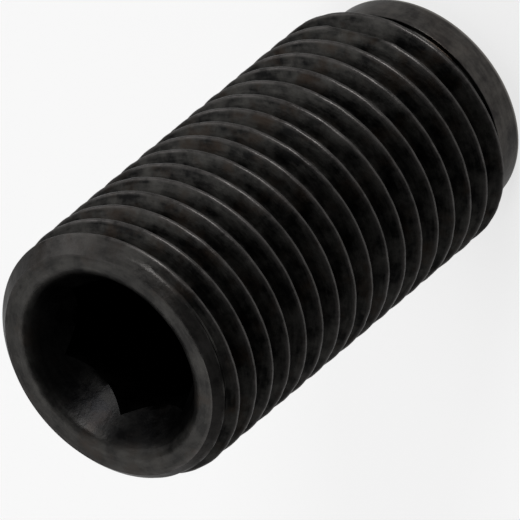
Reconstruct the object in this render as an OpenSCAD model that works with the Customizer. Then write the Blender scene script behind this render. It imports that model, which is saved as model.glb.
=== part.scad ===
// Hexagon-socket set screw with a fine right-hand thread, a thread relief and a short plain point.
// It is one solid. The screw stands on the flat of its point at z = 0 and its socket opens upwards.

/* [Screw] */
// Overall length, from the flat of the point to the socket end
length = 23.5; // [20:0.1:40]

/* [Thread] */
// Outer (major) diameter of the thread: a nominal 12 mm thread measures a little less
thread_d = 11.75; // [11:0.05:14]
// Pitch of the single-start, right-hand thread
pitch = 1.25; // [1:0.05:1.5]
// Angle between the two flanks of a thread groove
flank_angle = 60; // [55:1:60]
// Depth below the socket end at which the first crest passes the front (-Y) side
first_crest = 0.87; // [0.4:0.01:1.2]
// Slope of the chamfer at the socket end, measured from the end face
chamfer_angle = 45; // [25:1:50]
// Outer diameter of the flat end face at the socket end, where the chamfer starts
face_d = 10.16; // [9.8:0.02:10.6]

/* [Socket] */
// Hexagon width across flats
hex_af = 6; // [5:0.1:7]
// Depth of the hexagon below the socket end
hex_depth = 7.5; // [5:0.5:12]
// Diameter at which the countersink would meet the end face with a sharp edge
mouth_d = 8.84; // [8.2:0.02:9.2]
// Angle between opposite sides of the countersink
countersink_angle = 69; // [55:1:100]
// Radius of the rounded edge between the countersink and the end face
mouth_round = 0.35; // [0.1:0.05:0.5]
// Width of the flat ledge between the hexagon's sides and the drilled hole below it
drill_ledge = 0.2; // [0.1:0.05:0.6]
// Point angle of the drilled hole
drill_angle = 118; // [90:1:140]

/* [Point] */
// Diameter of the plain point
point_d = 10.2; // [9.8:0.05:10.6]
// Length of the plain point
point_length = 1.5; // [0.8:0.1:3]
// Radius of the point's rounded lower edge
point_round = 0.15; // [0.1:0.05:0.5]
// Diameter of the relief groove between the point and the thread
relief_d = 9.7; // [9.2:0.05:9.75]
// Distance from the point's upper edge to where the thread has its full diameter
relief_length = 0.8; // [0.75:0.05:3]
// Slope of the relief's upper side, measured from the end face
relief_angle = 30; // [20:1:50]

/* [Hidden] */

// Facets: sides of round surfaces, steps in one turn of the thread, and steps in a rounded edge
round_fn = 96;
turn_steps = 48;
round_steps = 5;
// How far a cutting tool or an envelope reaches past the surface that it forms
overrun = 1;

thread_r = thread_d / 2;
point_r = point_d / 2;
relief_r = relief_d / 2;
face_r = face_d / 2;
mouth_r = mouth_d / 2;

// Metric thread form: the sharp V has this height, an eighth of the pitch stays flat on the crest,
// and the groove is 17/24 of the sharp height deep
sharp_height = pitch / (2 * tan(flank_angle / 2));
crest_flat = pitch / 8;
thread_depth = sharp_height * 17 / 24;
root_r = thread_r - thread_depth;
flank_run = thread_depth * tan(flank_angle / 2);

// One pitch of the thread, upwards from the lower edge of a crest: [height, radius]
profile = [
    [-crest_flat / 2, thread_r],
    [crest_flat / 2, thread_r],
    [crest_flat / 2 + flank_run, root_r],
    [pitch - crest_flat / 2 - flank_run, root_r]
];
profile_top = len(profile) - 1;

// The helix starts on the front (-Y) side, a turn or more below the thread, and ends above the screw
front = 270;
thread_start = point_length + relief_length;
turns_below = ceil((length - first_crest - thread_start) / pitch) + 1;
helix_start = length - first_crest - turns_below * pitch;
steps = (turns_below + 2) * turn_steps;
bottom_centre = (steps + 1) * len(profile);
top_centre = bottom_centre + 1;

// Point j of the profile at step i of the helix
function thread_point(i, j) = let (turn = i / turn_steps, angle = front + 360 * turn)
    [profile[j][1] * cos(angle), profile[j][1] * sin(angle), helix_start + pitch * turn + profile[j][0]];

// Place of that point in the list of points, and the place of the point above it, where the last
// point of a profile is followed by the first point of the next turn
function at(i, j) = i * len(profile) + j;
function above(i, j) = j < profile_top ? at(i, j + 1) : at(i + turn_steps, 0);

// A long right-hand screw body, closed at each end by a cone of triangles round a point on the axis
module helical_body() {
    points = concat(
        [for (i = [0 : steps], j = [0 : profile_top]) thread_point(i, j)],
        [[0, 0, helix_start - pitch / 2], [0, 0, helix_start + pitch * steps / turn_steps + pitch]]
    );
    last_turn = steps - turn_steps;
    side = [
        for (i = [0 : steps - 1], j = [0 : profile_top])
            if (j < profile_top || i < last_turn)
                each [[at(i, j), above(i, j), above(i + 1, j)], [at(i, j), above(i + 1, j), at(i + 1, j)]]
    ];
    bottom = concat(
        [for (i = [0 : turn_steps - 1]) [bottom_centre, at(i, 0), at(i + 1, 0)]],
        [for (j = [0 : profile_top]) [bottom_centre, above(0, j), at(0, j)]]
    );
    top = concat(
        [for (i = [last_turn : steps - 1]) [top_centre, at(i + 1, profile_top), at(i, profile_top)]],
        [for (j = [0 : profile_top - 1]) [top_centre, at(steps, j), at(steps, j + 1)]],
        [[top_centre, at(last_turn, profile_top), at(steps, 0)]]
    );
    polyhedron(points, concat(side, bottom, top), convexity = 10);
}

// The thread's length, between the relief's upper side and the chamfer at the socket end
module thread_envelope() {
    slope = tan(chamfer_angle);
    relief_slope = tan(relief_angle);
    outer_r = thread_r + overrun;
    relief_top = thread_start - (thread_r - relief_r) * relief_slope;
    rotate_extrude($fn = round_fn) polygon([
        [0, relief_top],
        [relief_r, relief_top],
        [outer_r, thread_start + overrun * relief_slope],
        [outer_r, length - (outer_r - face_r) * slope],
        [face_r, length],
        [0, length]
    ]);
}

module threaded_shank() {
    intersection() {
        helical_body();
        thread_envelope();
    }
}

// The point with its rounded lower edge, and the relief groove, which runs into the threaded shank
module plain_point() {
    rotate_extrude($fn = round_fn) polygon(concat(
        [[0, 0]],
        [for (k = [0 : round_steps]) let (angle = 90 * k / round_steps)
            [point_r - point_round + point_round * sin(angle), point_round - point_round * cos(angle)]],
        [[point_r, point_length], [relief_r, point_length], [relief_r, thread_start], [0, thread_start]]
    ));
}

// Countersink: a cone whose upper edge rolls over into the end face
module countersink() {
    half_angle = countersink_angle / 2;
    turn = 90 - half_angle;
    round_centre_r = mouth_r + mouth_round * tan(turn / 2);
    rotate_extrude($fn = round_fn) polygon(concat(
        [[0, length - mouth_r / tan(half_angle)]],
        [for (k = [round_steps : -1 : 0]) let (angle = turn * k / round_steps)
            [round_centre_r - mouth_round * sin(angle), length - mouth_round + mouth_round * cos(angle)]],
        [[round_centre_r, length + overrun], [0, length + overrun]]
    ));
}

// Hexagon, and the cone of a narrower drilled hole below its bottom
module socket() {
    hex_bottom = length - hex_depth;
    drill_r = hex_af / 2 - drill_ledge;
    translate([0, 0, hex_bottom])
        cylinder(d = hex_af / cos(30), h = hex_depth + overrun, $fn = 6);
    rotate_extrude($fn = round_fn) polygon([
        [0, hex_bottom - drill_r / tan(drill_angle / 2)],
        [drill_r, hex_bottom],
        [drill_r, hex_bottom + overrun],
        [0, hex_bottom + overrun]
    ]);
}

module set_screw() {
    color([0.16, 0.16, 0.17])
        difference() {
            union() {
                threaded_shank();
                plain_point();
            }
            socket();
            countersink();
        }
}

set_screw();
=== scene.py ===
"""A black-oxide hexagon socket set screw, standing on its plain point on a pale studio floor."""
from math import ceil, cos, pi, radians, sin, tan

import bmesh
import bpy
import numpy as np
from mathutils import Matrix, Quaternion, Vector


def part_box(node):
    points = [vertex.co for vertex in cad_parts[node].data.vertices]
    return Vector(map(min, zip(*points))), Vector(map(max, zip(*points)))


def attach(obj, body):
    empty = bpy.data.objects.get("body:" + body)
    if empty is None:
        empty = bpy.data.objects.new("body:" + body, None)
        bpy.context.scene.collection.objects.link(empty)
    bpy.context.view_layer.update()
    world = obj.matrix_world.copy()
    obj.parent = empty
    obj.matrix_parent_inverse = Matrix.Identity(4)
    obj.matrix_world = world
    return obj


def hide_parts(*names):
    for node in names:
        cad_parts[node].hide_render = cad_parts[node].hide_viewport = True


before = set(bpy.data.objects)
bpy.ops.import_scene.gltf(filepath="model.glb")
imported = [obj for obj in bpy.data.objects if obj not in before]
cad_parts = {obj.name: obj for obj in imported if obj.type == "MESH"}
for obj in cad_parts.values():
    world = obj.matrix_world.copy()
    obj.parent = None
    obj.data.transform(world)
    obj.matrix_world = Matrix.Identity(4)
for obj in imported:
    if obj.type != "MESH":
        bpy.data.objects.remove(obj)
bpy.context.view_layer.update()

# ---------------------------------------------------------------------------------------------
# Set screw: one bar of alloy steel with a rolled M12 x 1.25 right-hand thread, a broached
# hexagon in a countersunk mouth, and a plain point behind a relief groove. It stands on the point.
# ---------------------------------------------------------------------------------------------
MM = 0.001
low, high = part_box("set_screw")
length = (high.z - low.z) / MM
thread_r = (high.x - low.x) / 2 / MM
pitch = 1.25
first_crest = 0.87          # depth of the first crest below the socket end, on the -Y side
crest_corner = pitch / 16   # half of the crest's flat
flank_slope = 1 / tan(radians(30))   # radius over height, of a 60 degree thread
flank_run = pitch / 2 * 17 / 24
root_r = thread_r - flank_run * flank_slope
crest_round = 0.13          # a flank rounds into the crest where their radii differ by less
root_round = 0.14           # the same for a flank and the root
ridge_round = 0.07          # the same where the thread meets the chamfer or the relief
runout = 1.5                # the thread's root rises over this much of the socket end
runout_fill = 0.75          # share of the thread's depth that it has risen by at the very end
wobble = 0.006              # depth of one of the waves that the crest's unevenness is made of
wobble_waves = 14
flat_spot_turn = -15        # turn of the crest that a flat is worn on, from the socket end down
flat_spot_at = radians(310)
flat_spot_r = 5.69          # distance of the flat from the axis
flat_spot_round = 0.34

face_r = 5.24               # outer edge of the socket end, where its 45 degree chamfer starts
face_off_centre = 0.1       # how far that edge was turned off the thread's axis, towards +Y
face_sag = 0.06             # the end is slightly crowned, and its outer edge is this much lower
crown_width = 0.48
mouth_r = 4.30              # where the countersink would meet the end in a sharp edge
mouth_round = 0.6
sink_angle = radians(32.3)  # between the countersink and the axis
hex_flat_r = 3.0
hex_depth = 7.5
drill_r = 2.8
drill_angle = radians(59)   # between the drilled hole's bottom and the axis

point_r = 5.07
point_length = 1.5
point_round = 0.1           # radius of the point's lower edge
shoulder_round = 0.05       # radius of its upper edge
relief_r = 4.85
relief_round = 0.08
full_thread_from = 2.3      # height at which the thread has its full diameter
relief_off_centre = 0.1     # how far the relief was turned off the thread's axis, towards +X
relief_slope = tan(radians(60))   # radius over height of the relief's upper side

columns = 168               # a multiple of six, so that one runs down each corner of the hexagon
theta = np.linspace(0, 2 * pi, columns + 1)
chamfer_r = face_r + face_off_centre * np.sin(theta)
relief_top_r = thread_r + relief_off_centre * np.cos(theta)


def lower_of(a, b, blend):
    """The smaller of a and b, with a rounded corner where they differ by less than blend: t runs
    from 0 to 1 across the corner, and the result is their mix less blend * t * (1 - t)."""
    t = np.clip(0.5 + 0.5 * (b - a) / blend, 0, 1)
    return b + (a - b) * t - blend * t * (1 - t)


def lines(radius, height):
    """Lines round the axis, from radii and heights that may change from line to line and round
    each of them."""
    return np.stack(np.broadcast_arrays(radius, height, 0 * theta)[:2], axis=-1)


def arc(centre_r, centre_z, radius, start, end, count):
    """Lines round the axis that carry an arc of a circle, between two angles in degrees: a line is
    at centre_r + radius * cos(angle) and centre_z + radius * sin(angle)."""
    angle = np.radians(np.linspace(start, end, count))[:, None]
    return lines(centre_r + radius * np.cos(angle), centre_z + radius * np.sin(angle))


def straight(start, end, count):
    """Lines at even steps from one line to another, without the first."""
    return start + (end - start) * np.linspace(0, 1, count + 1)[1:, None, None]


def crest_wobble(turned):
    """How far the crest lies inside its true radius, in mm, at an angle along the helix: a sum of
    sines of uneven periods, held between 0 and 3, times the depth of one. Rolling and handling
    leave it."""
    chance = np.random.default_rng(5)
    total = sum(np.sin(turned * chance.uniform(3, 38) + chance.uniform(0, 2 * pi))
                for _ in range(wobble_waves))
    return wobble * np.clip(total, 0, 3)


def threaded_shank():
    """The thread as a height field round the axis. A line keeps its place on the thread form while
    it climbs one pitch a turn, so crests and roots are unbroken. Its radius is the lowest of the
    crest, the two flanks and the cone at either end, and not less than the root."""
    # Lines over one pitch: close together at the crest's corner, then down the flank to its foot
    corner = crest_corner + np.array([-0.04, -0.02, -0.004, 0.012, 0.032, 0.06])
    flank = np.linspace(crest_corner + 0.13, crest_corner + flank_run - 0.07, 4)
    foot = crest_corner + flank_run + np.array([-0.02, 0.03])
    half = np.concatenate([corner, flank, foot])
    pitch_lines = np.concatenate([-half[::-1], [0], half, [pitch / 2]])

    # The helix climbs from below the screw to above it, and each turn of it starts at +X. The
    # first crest is given at -Y, three quarters of a turn and of a pitch on.
    turns = np.arange(-ceil(length / pitch), 3)
    turn = np.repeat(turns, len(pitch_lines))[:, None]
    crest = length - first_crest - 0.75 * pitch + pitch * (turn + theta / (2 * pi))
    offset = np.tile(pitch_lines, len(turns))[:, None]
    height = crest + offset

    # A flank meets the cone at an end in a ridge, at the height where these two straight lines
    # have the same radius. Lines within reach of it are drawn to it, and their distance d from it
    # becomes d * |d| / reach.
    reach = 0.15
    chamfer_cone = (chamfer_r, length - face_sag, -1)
    relief_cone = (relief_top_r, full_thread_from, relief_slope)
    for cone_r, cone_z, cone_slope in (chamfer_cone, relief_cone):
        side = np.where(offset < 0, flank_slope, -flank_slope)
        gap = cone_r - cone_slope * cone_z - thread_r - crest_corner * flank_slope
        ridge = (gap + side * crest) / (side - cone_slope)
        ridge_r = cone_r + cone_slope * (ridge - cone_z)
        on_flank = (ridge_r > root_r) & (ridge_r < thread_r) & (np.abs(offset) > crest_corner)
        away = height - ridge
        near = (np.abs(away) < reach) & on_flank
        height = np.where(near, ridge + away * np.abs(away) / reach, height)
    height = np.clip(height, point_length + relief_round, length - face_sag)

    # The crest, with its wobble. The flat is a plane, so its radius is flat_spot_r over the cosine
    # of the angle from its middle, and it lies inside the crest only near there. The cosine is
    # kept from nought on the far side.
    turned = 2 * pi * (crest - crest[:, :1]) / pitch + 2 * pi * turn
    crest_r = thread_r - crest_wobble(turned)
    flat_turn = turn == flat_spot_turn
    flat_spot = flat_spot_r / np.maximum(np.cos(theta - flat_spot_at), 0.5)
    soft_edge = np.where(flat_turn & (flat_spot < thread_r), flat_spot_round, crest_round)
    crest_r = np.where(flat_turn, np.minimum(crest_r, flat_spot), crest_r)
    flanks = thread_r - flank_slope * (np.abs(height - crest) - crest_corner)
    form = lower_of(flanks, crest_r, soft_edge)

    # The root rises towards the socket end: with the depth as a share s of the run-out, the form
    # is complete by a share of 3 * s ** 2 - 2 * s ** 3
    depth = np.clip((length - height) / runout, 0, 1)
    formed = depth ** 2 * (3 - 2 * depth)
    root = root_r + runout_fill * (thread_r - root_r) * (1 - formed)
    form = -lower_of(-form, -root, root_round)

    cone = np.minimum(chamfer_r + length - face_sag - height,
                      relief_top_r + relief_slope * (height - full_thread_from))
    cone = np.maximum(cone, relief_r)
    return lines(lower_of(form, cone, ridge_round), height)


# The lines in order, from the middle of the point up the outside and down into the socket
underside_r = np.array([[0], [1.5], [3], [4.2]])
point_end = np.concatenate([
    lines(underside_r, 0),
    arc(point_r - point_round, point_round, point_round, -90, 0, 6),
    arc(point_r - shoulder_round, point_length - shoulder_round, shoulder_round, 0, 90, 4),
    arc(relief_r + relief_round, point_length + relief_round, relief_round, 270, 180, 4)[:-1],
])

# The socket end is crowned on the arc that falls by the sag over the crown's width, which has a
# radius of (width ** 2 + sag ** 2) / (2 * sag). Its inner edge rolls over into the mouth.
crown_r = (crown_width ** 2 + face_sag ** 2) / (2 * face_sag)
crown_lean = np.degrees(np.arcsin(crown_width / crown_r))
crown = np.radians(np.linspace(crown_lean, 0, 7)[1:, None])
mouth_turn = pi / 2 - sink_angle
mouth_edge_r = mouth_r + mouth_round * tan(mouth_turn / 2)
face = lines(mouth_edge_r + (chamfer_r - mouth_edge_r) * np.sin(crown) / sin(radians(crown_lean)),
             length - crown_r * (1 - np.cos(crown)))
mouth = arc(mouth_edge_r, length - mouth_round, mouth_round, 90, 90 + np.degrees(mouth_turn), 8)
socket_end = np.concatenate([face, mouth[1:]])

# The hexagon's radius is that of its flats over the cosine of the angle from a flat's middle
hex_r = hex_flat_r / np.cos(theta % (pi / 3) - pi / 6)
hex_top = lines(hex_r, length - (mouth_r - hex_r) / tan(sink_angle))
hex_foot = lines(hex_r, length - hex_depth)
drill_edge = lines(drill_r, length - hex_depth)
drill_tip = lines(0, length - hex_depth - drill_r / tan(drill_angle))
socket = np.concatenate([
    straight(socket_end[-1], hex_top, 8),
    straight(hex_top, hex_foot, 8),
    straight(hex_foot, drill_edge, 1),
    straight(drill_edge, drill_tip, 4),
])
skin = np.concatenate([point_end, threaded_shank(), socket_end, socket])

skin_r, skin_z = skin[..., 0], skin[..., 1]
places = np.stack([skin_r * np.cos(theta), skin_r * np.sin(theta), skin_z], axis=-1)
at = np.arange(places.size // 3).reshape(places.shape[:2])
quads = np.stack([at[:-1, :-1], at[:-1, 1:], at[1:, 1:], at[1:, :-1]], axis=-1)
mesh = bpy.data.meshes.new("set_screw_skin")
mesh.from_pydata((places.reshape(-1, 3) * MM).tolist(), [], quads.reshape(-1, 4).tolist())

# Lines that have run off either end of the thread lie on one another there, and the last column
# lies on the first a turn higher: merging their doubles closes the skin
same_place = 1e-7           # in metres
merged = bmesh.new()
merged.from_mesh(mesh)
bmesh.ops.remove_doubles(merged, verts=merged.verts, dist=same_place)
bmesh.ops.dissolve_degenerate(merged, edges=merged.edges, dist=same_place)
open_edges = sum(not edge.is_manifold for edge in merged.edges)
merged.to_mesh(mesh)
merged.free()
mesh.shade_smooth()
mesh.set_sharp_from_angle(angle=radians(33))
screw = bpy.data.objects.new("set_screw_skin", mesh)
bpy.context.scene.collection.objects.link(screw)
triangles = sum(len(p.vertices) - 2 for p in mesh.polygons)
print("set screw:", triangles, "triangles,", open_edges, "open edges")


def linear(hex_colour):
    """An sRGB hex colour as the linear red, green, blue and alpha that a shader takes."""
    value = np.array([int(hex_colour[i:i + 2], 16) / 255 for i in (1, 3, 5)])
    return (*np.where(value <= 0.04045, value / 12.92, ((value + 0.055) / 1.055) ** 2.4), 1)


def add(tree, kind, inputs={}, **settings):
    """Adds a node with its settings. Each input gets a value, or a link from another's output."""
    made = tree.nodes.new("ShaderNode" + kind)
    for name, value in settings.items():
        setattr(made, name, value)
    for name, value in inputs.items():
        if isinstance(value, bpy.types.NodeSocket):
            tree.links.new(value, made.inputs[name])
        else:
            made.inputs[name].default_value = value
    return made


# Black oxide: a thin, dark film of magnetite on steel, sealed with oil. It gives a near-black
# metal with soft highlights, greyer and browner in patches where handling has thinned it, rubbed
# towards grey steel along the crests and over the chamfer, and darker inside the socket, partly
# from its unworn film and partly as painted shade. The point is painted lighter, with a painted
# highlight on its lower edge, in place of the bright surroundings that it reflects.
thick_film, thin_film_grey, brown_stain = linear("#161616"), linear("#3e3d3b"), linear("#302822")
# The socket's black below is partly its unworn film and partly painted shade.
worn_grey, rubbed_steel, unworn_black_and_shade = linear("#2c2b2a"), linear("#454342"), linear("#0f0f10")
# The point's two greys are painted light, and its rim a painted highlight, standing in for the
# bright surroundings that it reflects.
point_painted_dark, point_painted_light, rim_painted_highlight = linear("#353332"), linear("#504d4a"), linear("#7c7975")
streak_length, streak_width = 1.0, 0.16
streak_r = 5.5              # distance from the axis at which a streak has that length
film_patch, grain_size, scuff_size, stain_size = 1.1, 0.12, 0.5, 1.7
grain_height, film_height = 0.01, 0.06
end_wear = (0.8, 0.5)       # depths below the socket end at which its wear starts and is full
crest_wear = (0.13, 0.04)   # the same below the crest
chamfer_wear = (0.16, 0.02)  # the same inside the chamfer, as a sum of radius and height
mouth_fade = 0.35           # the socket's darker colour, unworn film and painted shade, begins over this much of the mouth's radius
point_fade = 0.05           # the point's painted lighter tone begins over this much of the point's height
rim_highlight_heights = (0.2, 0.09)      # heights above the floor at which the painted highlight on the point's rim starts and is full

black_oxide = bpy.data.materials.new("oiled_black_oxide_on_steel")
black_oxide.use_nodes = True
tree = black_oxide.node_tree
tree.nodes.clear()
place = add(tree, "TexCoord").outputs["Object"]
in_mm = add(tree, "VectorMath", {0: place, "Scale": 1 / MM}, operation="SCALE").outputs[0]
across = add(tree, "VectorMath", {0: in_mm, 1: (1, 1, 0)}, operation="MULTIPLY").outputs[0]
radius = add(tree, "VectorMath", {0: across}, operation="LENGTH").outputs["Value"]
height = add(tree, "SeparateXYZ", {0: in_mm}).outputs["Z"]

# Streaks run round the axis, as a die and a hand leave them: their noise takes the direction from
# the axis, the height and the radius. They and the grain are drawn coarser than real ones.
around = add(tree, "VectorMath", {0: across}, operation="NORMALIZE").outputs[0]
wound = add(tree, "VectorMath", {0: around, "Scale": streak_r / streak_length},
            operation="SCALE").outputs[0]
wound = add(tree, "VectorMath", {0: in_mm, 1: (0, 0, 1 / streak_width), 2: wound},
            operation="MULTIPLY_ADD").outputs[0]
inward = add(tree, "Math", {0: radius, 1: 1 / streak_width}, operation="MULTIPLY").outputs[0]
streak = add(tree, "TexNoise",
             {"Vector": wound, "W": inward, "Scale": 1.0, "Detail": 4, "Roughness": 0.6},
             noise_dimensions="4D").outputs["Fac"]
film = add(tree, "TexNoise", {"Vector": in_mm, "Scale": 1 / film_patch,
                              "Detail": 5, "Roughness": 0.65}).outputs["Fac"]
grain = add(tree, "TexNoise", {"Vector": in_mm, "Scale": 1 / grain_size,
                               "Detail": 3, "Roughness": 0.6}).outputs["Fac"]
scuff = add(tree, "TexNoise", {"Vector": in_mm, "Scale": 1 / scuff_size,
                               "Detail": 5, "Roughness": 0.7}).outputs["Fac"]
brown = add(tree, "TexNoise", {"Vector": in_mm, "Scale": 1 / stain_size,
                               "Detail": 5, "Roughness": 0.65}).outputs["Fac"]

# The film, thick to thin, with its brown stains and the even wear of the socket end
patchy = add(tree, "Mix", {"Factor": 0.3, "A": film, "B": streak}).outputs["Result"]
thin_film = add(tree, "MapRange", {"Value": patchy, "From Min": 0.41, "From Max": 0.62}).outputs[0]
oxide = add(tree, "Mix", {"Factor": thin_film, "A": thick_film, "B": thin_film_grey},
            data_type="RGBA").outputs["Result"]
browned = add(tree, "MapRange", {"Value": brown, "From Min": 0.52, "From Max": 0.66,
                                 "To Max": 0.6}).outputs[0]
oxide = add(tree, "Mix", {"Factor": browned, "A": oxide, "B": brown_stain},
            data_type="RGBA").outputs["Result"]
worn_end = add(tree, "MapRange", {"Value": height, "From Min": length - end_wear[0],
                                  "From Max": length - end_wear[1], "To Max": 0.42}).outputs[0]
oxide = add(tree, "Mix", {"Factor": worn_end, "A": oxide, "B": worn_grey},
            data_type="RGBA").outputs["Result"]

# The rubbed crests and chamfer, uneven from scuffing. On the chamfer, radius + height is constant.
crest = add(tree, "MapRange", {"Value": radius, "From Min": thread_r - crest_wear[0],
                               "From Max": thread_r - crest_wear[1]}).outputs[0]
on_chamfer = add(tree, "Math", {0: radius, 1: height}, operation="ADD").outputs[0]
chamfer_at = length - face_sag + face_r
chamfer = add(tree, "MapRange", {"Value": on_chamfer, "From Min": chamfer_at - chamfer_wear[0],
                                 "From Max": chamfer_at - chamfer_wear[1],
                                 "To Max": 0.6}).outputs[0]
edge = add(tree, "Math", {0: crest, 1: chamfer}, operation="MAXIMUM").outputs[0]
scuffed = add(tree, "MapRange", {"Value": scuff, "From Min": 0.36, "From Max": 0.62,
                                 "To Min": 0.25}).outputs[0]
rubbed = add(tree, "Math", {0: edge, 1: scuffed}, operation="MULTIPLY").outputs[0]
colour = add(tree, "Mix", {"Factor": rubbed, "A": oxide, "B": rubbed_steel},
             data_type="RGBA").outputs["Result"]

# The socket, darker from its unworn film and from painted shade, and the point, painted lighter
# in place of the bright surroundings that it reflects, with a painted highlight on its lower rim
unworn_and_shaded = add(tree, "MapRange", {"Value": radius, "From Min": mouth_r,
                                "From Max": mouth_r - mouth_fade, "To Max": 0.8}).outputs[0]
colour = add(tree, "Mix", {"Factor": unworn_and_shaded, "A": colour, "B": unworn_black_and_shade},
             data_type="RGBA").outputs["Result"]
# The point is painted lighter, in place of the bright surroundings that it reflects.
point = add(tree, "MapRange", {"Value": height, "From Min": point_length,
                               "From Max": point_length - point_fade, "To Max": 0.7}).outputs[0]
point_painted_tone = add(tree, "Mix", {"Factor": thin_film, "A": point_painted_dark, "B": point_painted_light},
             data_type="RGBA").outputs["Result"]
colour = add(tree, "Mix", {"Factor": point, "A": colour, "B": point_painted_tone},
             data_type="RGBA").outputs["Result"]
# A painted highlight along the point's lower edge.
rim_highlight_mask = add(tree, "MapRange", {"Value": height, "From Min": rim_highlight_heights[0],
                             "From Max": rim_highlight_heights[1]}).outputs[0]
colour = add(tree, "Mix", {"Factor": rim_highlight_mask, "A": colour, "B": rim_painted_highlight},
             data_type="RGBA").outputs["Result"]

rough = add(tree, "MapRange", {"Value": patchy, "From Min": 0.35, "From Max": 0.65,
                               "To Min": 0.32, "To Max": 0.46}).outputs[0]
bump = add(tree, "Bump", {"Height": grain, "Strength": 0.5,
                          "Distance": grain_height * MM}).outputs[0]
bump = add(tree, "Bump", {"Height": film, "Strength": 0.5,
                          "Distance": film_height * MM, "Normal": bump}).outputs[0]
shader = add(tree, "BsdfPrincipled", {"Base Color": colour, "Metallic": 1.0, "Roughness": rough,
                                      "Normal": bump, "Specular Tint": linear("#dcdcdc")})
add(tree, "OutputMaterial", {"Surface": shader.outputs[0]})
mesh.materials.append(black_oxide)

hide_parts("set_screw")
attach(screw, "root")

# ---------------------------------------------------------------------------------------------
# Floor: a wide sheet of matt white paper. Seven tenths of what the eye and the metal see of it
# is plain white, and the rest is its lit surface, which keeps the screw's shadow.
# ---------------------------------------------------------------------------------------------
floor_half = 4.0
plain_white = 0.7
floor_mesh = bpy.data.meshes.new("paper_floor")
floor_corners = [(x * floor_half, y * floor_half, 0)
                 for x, y in ((-1, -1), (1, -1), (1, 1), (-1, 1))]
floor_mesh.from_pydata(floor_corners, [], [(0, 1, 2, 3)])
floor = bpy.data.objects.new("paper_floor", floor_mesh)
bpy.context.scene.collection.objects.link(floor)
paper = bpy.data.materials.new("matt_white_paper")
paper.use_nodes = True
tree = paper.node_tree
tree.nodes.clear()
lit = add(tree, "BsdfPrincipled", {"Base Color": linear("#f4f4f4"), "Roughness": 0.9}).outputs[0]
white = add(tree, "Emission", {"Color": (1, 1, 1, 1), "Strength": 1.0}).outputs[0]
path = add(tree, "LightPath").outputs
seen = add(tree, "Math", {0: path["Is Camera Ray"], 1: path["Is Glossy Ray"]},
           operation="MAXIMUM").outputs[0]
share = add(tree, "Math", {0: seen, 1: plain_white}, operation="MULTIPLY").outputs[0]
sheet = add(tree, "MixShader", {"Fac": share, 1: lit, 2: white}).outputs[0]
add(tree, "OutputMaterial", {"Surface": sheet})
floor_mesh.materials.append(paper)

# ---------------------------------------------------------------------------------------------
# Studio: a dim grey surround and six soft lamps. Three stand at the screw's +X side, one of them
# low and one high, a small one at its front corner, and two behind it, the last of them weak.
# ---------------------------------------------------------------------------------------------
surround_strength = 0.16
lamp_distance = 2.4
world = bpy.data.worlds.new("grey_surround")
world.use_nodes = True
surround = world.node_tree.nodes["Background"].inputs
surround["Color"].default_value = (1, 1, 1, 1)
surround["Strength"].default_value = surround_strength
bpy.context.scene.world = world


def direction(azimuth, elevation):
    """The unit vector that points that way from the screw, from two angles in degrees."""
    a, e = radians(azimuth), radians(elevation)
    return Vector((cos(e) * cos(a), cos(e) * sin(a), sin(e)))


def softbox(name, azimuth, elevation, size, watts):
    """A square lamp that faces the screw from that direction, given in degrees."""
    lamp = bpy.data.lights.new(name, "AREA")
    lamp.shape, lamp.size, lamp.energy = "SQUARE", size, watts
    holder = bpy.data.objects.new(name, lamp)
    out = direction(azimuth, elevation)
    holder.location = out * lamp_distance
    holder.rotation_euler = out.to_track_quat("Z", "Y").to_euler()
    bpy.context.scene.collection.objects.link(holder)


softbox("side_softbox", 5, 44, 2.6, 16)
softbox("low_softbox", 8, 12, 1.2, 10)
softbox("corner_softbox", -58, 17, 0.7, 34)
softbox("back_softbox", 97, 52, 1.9, 22)
softbox("far_side_softbox", 153, 22, 1.9, 2)
softbox("top_softbox", 8, 68, 1.7, 8)

# Camera: a very long lens, so that the screw's sides stay nearly parallel. It looks down on the
# socket end, and is turned over so that the screw lies across the picture.
camera_distance = 847.5
lens = bpy.data.cameras.new("camera")
lens.sensor_width, lens.lens, lens.clip_end = 36, 1392.8, 10
camera = bpy.data.objects.new("camera", lens)
bpy.context.scene.collection.objects.link(camera)
aim = Vector((-0.704, 0.050, length - 10.502)) * MM
out = direction(-94, 43.235)
roll = radians(-129.963)
camera.location = aim + out * camera_distance * MM
camera.rotation_mode = "QUATERNION"
camera.rotation_quaternion = out.to_track_quat("Z", "Y") @ Quaternion((0, 0, 1), roll)
bpy.context.scene.camera = camera
bpy.context.scene.view_settings.view_transform = "Standard"
